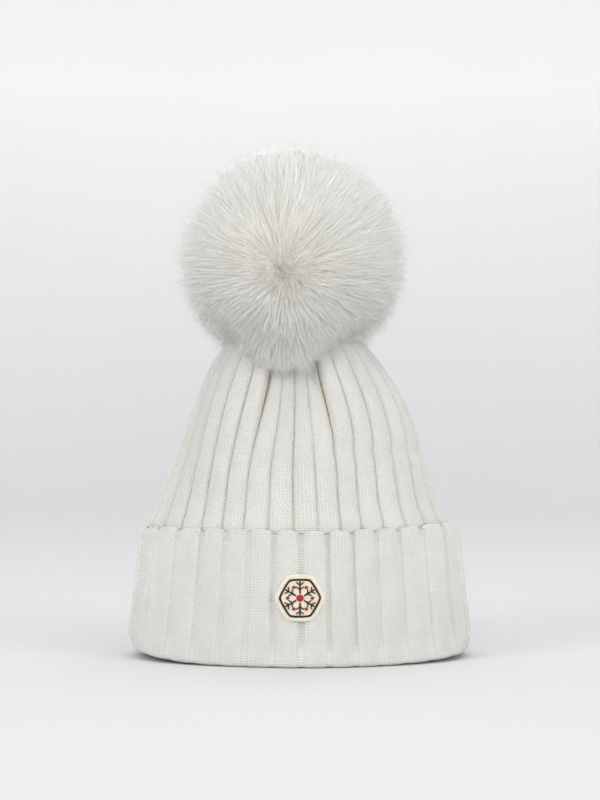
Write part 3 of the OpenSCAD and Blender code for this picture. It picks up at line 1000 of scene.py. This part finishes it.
def make_seam(thread):
    """The linked seam up the inside of the back: a row of chain stitches over two edges."""
    bottom, deep_z, top = 20 * MM, 200 * MM, crown_h - 22 * MM
    pitch, stitch_l, stitch_w = 2.1 * MM, 2.6 * MM, 1.4 * MM
    lines = []
    z = bottom
    while z < top:
        x = float(crown_x(z))
        y = float(crown_d(z)) - knit_t - 3.6 * MM * (0.45 + 0.55 * smoothstep(bottom, deep_z, z))
        for side in (-1, 1):
            start = np.array([x + side * stitch_w, y + 0.3 * MM, z])
            end = np.array([x - side * 0.2 * MM, y, z + stitch_l])
            lines.append(arch(start, end, (side * 0.3 * MM, -0.9 * MM, 0)))
        z += pitch
    dress(tube_set("back_seam_stitches", lines, 0.55 * MM), thread, "knit_thread", "hat", "back_seam")


def make_gather_thread(thread):
    """Running stitches in and out of the ribs round the gather, drawn tight."""
    ply_r, stitches = 0.42 * MM, 12
    low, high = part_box("crown_gather_thread")
    turns = np.linspace(0, TAU, 241)
    z = crown_h + 0.2 * MM + 0.9 * MM * np.sin(turns * stitches)
    path = around(pom_axis_x, (high.x - low.x) / 2 - 0.7 * MM, z, turns)
    gather = tube_set("crown_gather_yarn", plied(path, 2, 0.75 * MM, ply_r, 1400), ply_r)
    dress(gather, thread, "knit_thread", "hat", "crown_gather_thread")


def turned(name, outline, x, sides=96):
    """A round piece about the upright axis at x, from a closed outline of (r, z) points."""
    r, z = np.array(outline).T[:, :, None]
    points = around(x, r, z, ring_turns(sides))
    return mesh_object(name, points.reshape(-1, 3), grid_faces(len(outline), sides, True))


def rounded_washer(name, node, hole_r, edge_r):
    """A flat round piece with soft edges, the size of a CAD node."""
    low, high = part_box(node)
    r, x = (high.x - low.x) / 2, (high.x + low.x) / 2
    outline = []
    for middle_r, middle_z, start in (
            (r - edge_r, low.z + edge_r, -90), (r - edge_r, high.z - edge_r, 0),
            (hole_r + edge_r, high.z - edge_r, 90), (hole_r + edge_r, low.z + edge_r, 180)):
        for a in np.radians(start + np.linspace(0, 90, 5)):
            outline.append((middle_r + edge_r * math.cos(a), middle_z + edge_r * math.sin(a)))
    return turned(name, outline, x)


def make_hide(hide):
    """The hide drawn up round its wadding, puckered where the drawstring closes it."""
    puckers, pucker_depth, pucker_reach = 18, 0.45 * MM, 0.35
    middle_z = pom_centre[2]
    neck, top = math.asin((hide_low.z - middle_z) / hide_r), math.pi / 2 - 0.02
    turns = ring_turns(128)
    rows = [(hide_r, a) for a in np.linspace(neck, top, 30)]
    rows += [(hide_r - 1 * MM, a) for a in np.linspace(top, neck, 30)]
    points = []
    for r, a in rows:
        pucker = pucker_depth * np.sin(turns * puckers) * bell(a, neck, pucker_reach)
        points.append(around(hide_x, r * math.cos(a) + pucker, middle_z + r * math.sin(a), turns))
    shell = mesh_object("pom_hide_shell", np.concatenate(points), grid_faces(len(rows), len(turns), True))
    dress(shell, hide, "hide", "pom", "pom_hide")


def make_wadding(wadding):
    """The ball of wadding inside the hide, flat below."""
    low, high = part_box("pom_filling")
    r, middle_z = (high.x - low.x) / 2, pom_centre[2]
    outline = [(0.2 * MM, low.z + 0.05 * MM), (0.5 * r, low.z)]
    outline += [(r * math.cos(a), middle_z + r * math.sin(a))
                for a in np.linspace(math.asin((low.z - middle_z) / r), math.pi / 2 - 0.01, 30)]
    wad = turned("pom_wadding", outline, hide_x)
    dress(wad, wadding, "wadding", "pom", "pom_filling")


def make_drawstring(thread):
    """The three-ply string that closes the hide."""
    yarn_r, ply_r = 0.6 * MM, 0.32 * MM
    low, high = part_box("pom_drawstring")
    path = around(hide_x, (high.x - low.x) / 2 - yarn_r, (low.z + high.z) / 2, np.linspace(0, TAU, 181))
    string = tube_set("pom_drawstring_yarn", plied(path, 3, yarn_r, ply_r, 2200), ply_r)
    dress(string, thread, "knit_thread", "pom", "pom_drawstring")


def make_label(satin, thread):
    """A limp satin label with folded-over side edges, hung from its upper edge, and its sewing."""
    low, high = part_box("care_label")
    width, length = high.x - low.x, high.z - low.z + 0.5 * MM
    y = (low.y + high.y) / 2
    cols, rows = 41, 53
    thick, hem_t = 0.25 * MM, 0.12 * MM
    u, v = np.meshgrid(np.linspace(-1, 1, cols), np.linspace(0, 1, rows))
    curl = -0.9 * MM * v ** 2 * (1 - 0.5 * u ** 2) + 0.25 * MM * np.sin(3 * v + 2 * u) * v
    hem = hem_t * smoothstep(0.9, 0.93, np.abs(u))
    z = high.z - v * length + 0.5 * MM * v
    sheets = [np.stack([u * width / 2, y + curl + side * (thick / 2 + hem), z], -1) for side in (-1, 1)]
    count = rows * cols
    flat = np.concatenate([sheet.reshape(-1, 3) for sheet in sheets])
    r, c = np.meshgrid(np.arange(rows - 1), np.arange(cols - 1), indexing="ij")
    a = (r * cols + c).ravel()
    front = np.stack([a, a + cols, a + cols + 1, a + 1], -1)
    back = front[:, ::-1] + count
    rim = np.concatenate([np.arange(cols), np.arange(1, rows) * cols + cols - 1,
                          (rows - 1) * cols + np.arange(cols - 2, -1, -1), np.arange(rows - 2, 0, -1) * cols])
    following = np.roll(rim, -1)
    edge = np.stack([rim, following, following + count, rim + count], -1)
    label = mesh_object("care_label_satin", flat, np.concatenate([front, back, edge]))
    dress(label, satin, "label_satin", "care_label", "care_label")

    low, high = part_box("care_label_stitches")
    pitch, stitches = width / 10, 9
    middle = np.array([0, y, (low.z + high.z) / 2])
    half = np.array([0.34 * pitch, 0, 0])
    lines = []
    for i in range(stitches):
        at = middle + [(i - stitches // 2) * pitch, 0, 0]
        lines.append(arch(at - half, at + half, (0, -0.25 * MM, 0)))
    sewing = tube_set("care_label_sewing", lines, 0.28 * MM)
    dress(sewing, thread, "label_thread", "hat", "care_label_stitches")


# ---- The other materials ------------------------

FUR = srgb(0.983, 0.985, 0.968)
FUR_TIP = srgb(0.985, 0.987, 0.975)
FUR_ROOT = srgb(0.972, 0.966, 0.942)
# The swirl colour: partly the creamy roots, partly painted shade.
FUR_SWIRL_CREAM_AND_SHADE = srgb(0.98, 0.967, 0.93)
FUR_TINT = (0.93, 0.93, 0.92, 1)
# The underfur's colours sit below the long hair's white: partly its own creamy tone, partly painted shade
# beneath the hair.
UNDER_DARK = srgb(0.915, 0.90, 0.87)
UNDER_LIGHT = srgb(0.955, 0.945, 0.92)
UNDER_TINT = (0.9, 0.89, 0.87, 1)
GUARD_TIP = srgb(0.74, 0.73, 0.71)
FELT_TINT = (0.95, 0.945, 0.93, 1)


def fur_material():
    """White hair, creamy at the roots and, round the swirl, creamier and darker as partly painted shade, with
    grey guard tips and a silky sheen.
    """
    s = Shader("fur_hair", Sheen_Weight=0.3, Sheen_Roughness=0.4)
    strand, along = s.split(s.node("UVMap", "UV", uv_map="OFBake"))[:2]
    own = s.node("TexWhiteNoise", "Value", {"W": strand}, noise_dimensions="1D")
    tone = s.ramp(along, (0.0, FUR_ROOT), (0.55, FUR), (1.0, FUR_TIP))
    tone = s.times(tone, s.ramp(own, (0.0, FUR_TINT), (1.0, WHITE)))
    # painted shade and creaminess round the swirl
    tone = s.mix(s.attribute("cream_and_shade"), tone, FUR_SWIRL_CREAM_AND_SHADE)
    guard_tip = s.math("MULTIPLY", s.attribute("guard"), s.math("POWER", along, 4.0))
    tone = s.mix(guard_tip, tone, GUARD_TIP)
    return s.finish(tone, own, 0.5, 0.75, s.noise(1800, 2), 0.05 * MM, 0.3)


def underfur_material():
    """Dense short fur, darker than the long hair, partly as painted shade beneath it: fine specks, and larger
    tufts in a darker tone.
    """
    s = Shader("fur_under", Roughness=0.85, Sheen_Weight=0.4)
    fine, tufts = s.noise(900, 4, 0.7), s.noise(160, 3)
    tone = s.ramp(fine, (0.25, UNDER_DARK), (0.7, UNDER_LIGHT))
    tone = s.times(tone, s.ramp(tufts, (0.2, UNDER_TINT), (0.8, WHITE)))
    return s.finish(tone, fine, 0.75, 0.95, fine, 1.0 * MM, 0.8)


def felt_material(name, colour, shade):
    """Pressed felt: matted fibres, slight clouds of colour and fuzz."""
    s = Shader(name, Roughness=0.95, Sheen_Weight=0.5, Sheen_Roughness=0.5)
    fibres, clouds = s.noise(1500, 4, 0.75), s.noise(260, 2)
    tone = s.ramp(fibres, (0.25, shade), (0.65, colour))
    tone = s.times(tone, s.ramp(clouds, (0.3, FELT_TINT), (0.7, WHITE)))
    return s.finish(tone, fibres, 0.85, 1.0, fibres, 0.35 * MM, 0.9)


def thread_material(name, colour, shade, rough=0.5, fibre=2600):
    """Twisted thread: fine fibres and a soft sheen."""
    s = Shader(name, Sheen_Weight=0.4, Sheen_Roughness=0.35, Specular_IOR_Level=0.4)
    fibres = s.noise(fibre, 3, 0.6)
    tone = s.ramp(fibres, (0.3, shade), (0.7, colour))
    return s.finish(tone, fibres, rough, rough + 0.25, fibres, 0.06 * MM, 0.6)


def metal_material(name, colour, rough):
    """Pressed metal with a fine grain and faint handling marks."""
    dulling = 0.86
    s = Shader(name, Metallic=1.0)
    grain, marks = s.noise(5200, 3), s.noise(420, 4, 0.7)
    dull = tuple(c * dulling for c in colour[:3]) + (1,)
    tone = s.ramp(marks, (0.35, dull), (0.6, colour))
    return s.finish(tone, marks, rough, rough + 0.22, grain, 0.012 * MM, 0.5)


def leather_material(name, colour, shade, pore):
    """Suede or leather: pores and uneven tone."""
    s = Shader(name, Specular_IOR_Level=0.3)
    pores = s.node("TexVoronoi", "Distance", {"Vector": s.node("TexCoord", "Object"), "Scale": pore})
    clouds = s.noise(180, 4)
    tone = s.ramp(clouds, (0.3, shade), (0.7, colour))
    return s.finish(tone, clouds, 0.6, 0.9, pores, 0.15 * MM, 0.7)


def satin_material():
    """Woven satin: long floats of the warp, fine ribs of the weft."""
    warp_pitch, weft_pitch, weft_slant = 0.25 * MM, 0.5 * MM, 0.6
    s = Shader("label_weave", Sheen_Weight=0.3, Specular_IOR_Level=0.5)
    x, _, z = s.split(s.node("TexCoord", "Object"))
    slant = s.math("ADD", z, s.math("MULTIPLY", x, weft_slant))
    weft = s.math("POWER", s.waves(slant, math.pi / weft_pitch), 0.3)
    weave = s.math("MULTIPLY", s.waves(x, math.pi / warp_pitch), weft)
    tone = s.ramp(weave, (0.0, srgb(0.86, 0.86, 0.85)), (0.7, srgb(0.95, 0.95, 0.94)))
    return s.finish(tone, s.noise(600, 2), 0.35, 0.55, weave, 0.05 * MM, 0.7)


# ---- Camera, floor and light ------------------------

def make_camera():
    """A level camera in front of the hat, about half way up it."""
    height, distance = 0.1716, 1.1
    view_height = 0.5392                 # of what it sees at the hat
    data = bpy.data.cameras.new("camera")
    data.sensor_width = 36
    data.lens = data.sensor_width * distance / view_height
    camera = bpy.data.objects.new("camera", data)
    camera.location = (0, -distance, height)
    camera.rotation_euler = (math.pi / 2, 0, 0)
    bpy.context.scene.collection.objects.link(camera)
    bpy.context.scene.camera = camera


def paper_material():
    """Pale paper with a faint mottle, and painted light: a little lighter up the wall."""
    s = Shader("floor_paper", Roughness=0.9, Specular_IOR_Level=0.1)
    up = s.split(s.node("TexCoord", "Object"))[2]
    # painted light: the paper is coloured lighter with height up the wall
    paper = s.ramp(up, (0.0, srgb(0.81, 0.81, 0.816)), (0.9, srgb(0.97, 0.97, 0.975)))
    mottle = s.ramp(s.noise(1.5, 2), (0.3, (0.985, 0.985, 0.985, 1)), (0.7, WHITE))
    s.feed("Base Color", s.times(paper, mottle))
    s.bump(s.noise(400, 3), 0.05 * MM, 0.15)
    return s.material


def make_floor():
    """A pale studio bowl: a flat floor that curves up into a wall all round."""
    radius, bend, wall, sides = 2.9, 1.6, 2.6, 96
    outline = [(0.4, 0), (1.0, 0), (radius - bend, 0)]
    outline += [(radius - bend + bend * math.sin(a), bend - bend * math.cos(a))
                for a in np.linspace(0.1, math.pi / 2, 14)]
    outline.append((radius, wall))
    r, z = np.array(outline).T[:, :, None]
    rings = around(0, r, z, ring_turns(sides))
    points = np.concatenate([rings.reshape(-1, 3), [[0, 0, 0]]])
    middle = cap(np.arange(sides), len(points) - 1)
    floor = mesh_object("floor", points, [grid_faces(len(r), sides)[:, ::-1], middle])
    floor.data.materials.append(paper_material())


def area_light(name, place, aim, size, power, spread=180):
    """A soft round lamp at place, turned towards aim. spread: how wide it shines, in degrees."""
    data = bpy.data.lights.new(name, "AREA")
    data.shape = "DISK"
    data.size = size
    data.energy = power
    data.spread = math.radians(spread)
    light = bpy.data.objects.new(name, data)
    light.location = place
    direction = np.array(aim, float) - np.array(place, float)
    yaw = math.atan2(direction[1], direction[0]) - math.pi / 2
    pitch = math.atan2(direction[2], math.hypot(direction[0], direction[1]))
    light.rotation_euler = (math.pi / 2 + pitch, 0, yaw)
    light.visible_camera = False
    bpy.context.scene.collection.objects.link(light)


def make_light():
    """Soft lamps all round, and narrow low ones that lighten the hair's underside."""
    world = bpy.data.worlds.new("studio")
    bpy.context.scene.world = world
    world.use_nodes = True
    background = next(n for n in world.node_tree.nodes if n.type == "BACKGROUND")
    background.inputs["Color"].default_value = (1.0, 0.995, 0.99, 1)
    background.inputs["Strength"].default_value = 1.08
    hat, neck = (0, 0, 0.17), (0, 0, 0.27)
    area_light("key", (-1.3, -1.0, 1.0), hat, 0.8, 3.4, 120)
    area_light("fill", (1.4, -1.0, 0.8), hat, 0.8, 3, 120)
    area_light("low_front", (0.0, -1.5, 0.34), neck, 0.5, 0.42, 45)
    area_light("low_left", (-1.4, -0.9, 0.4), neck, 0.5, 0.26, 45)
    area_light("low_right", (1.4, -0.9, 0.4), neck, 0.5, 0.28, 45)
    area_light("top", (0.2, -0.1, 1.9), hat, 1.4, 5)
    area_light("back_left", (-1.3, 1.3, 1.3), hat, 1.0, 2)
    area_light("back_right", (1.3, 1.3, 1.3), hat, 1.0, 2)
    bpy.context.scene.view_settings.view_transform = "Standard"


# ---- Build ------------------------

knit = knit_material()
yarn = thread_material("knit_yarn", srgb(0.91, 0.9, 0.87), srgb(0.84, 0.82, 0.77), 0.8, 1800)
black = thread_material("black_floss", srgb(0.10, 0.10, 0.11), srgb(0.045, 0.045, 0.05), 0.4)
red = thread_material("red_floss", srgb(0.74, 0.13, 0.16), srgb(0.55, 0.06, 0.09), 0.4)
sewing = thread_material("sewing_thread", srgb(0.89, 0.85, 0.76), srgb(0.80, 0.75, 0.65), 0.6)
badge_wool = felt_material("badge_felt_wool", srgb(0.885, 0.855, 0.78), srgb(0.83, 0.785, 0.69))
lining = felt_material("lining_felt", srgb(0.91, 0.9, 0.86), srgb(0.83, 0.82, 0.77))
stuffing = felt_material("wadding_fibre", srgb(0.95, 0.95, 0.94), srgb(0.87, 0.87, 0.86))
leather = leather_material("base_leather_grain", srgb(0.89, 0.85, 0.78), srgb(0.83, 0.78, 0.69), 900)
suede = leather_material("hide_suede", srgb(0.90, 0.87, 0.80), srgb(0.84, 0.8, 0.72), 1400)
nickel = metal_material("nickel_plate", srgb(0.80, 0.79, 0.77), 0.18)
steel = metal_material("spring_wire", srgb(0.72, 0.72, 0.73), 0.3)

make_crown(knit)
make_cuff(knit)
make_badge(badge_wool, black, red, sewing)
make_seam(yarn)
make_gather_thread(yarn)
disc = rounded_washer("crown_felt_disc", "crown_disc", 2.3 * MM, 0.7 * MM)
dress(disc, lining, "felt_lining", "hat", "crown_disc")
base = rounded_washer("pom_base_disc", "pom_base", 2.2 * MM, 0.6 * MM)
dress(base, leather, "base_leather", "pom_base", "pom_base")
for node in ("snap_post", "snap_stud", "snap_socket", "snap_cap", "snap_spring"):
    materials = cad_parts[node].data.materials
    materials.clear()
    materials.append(steel if node == "snap_spring" else nickel)
make_hide(suede)
make_wadding(stuffing)
make_drawstring(yarn)
make_label(satin_material(), sewing)
make_underfur(underfur_material())
make_hair(fur_material())
make_floor()
make_light()
make_camera()
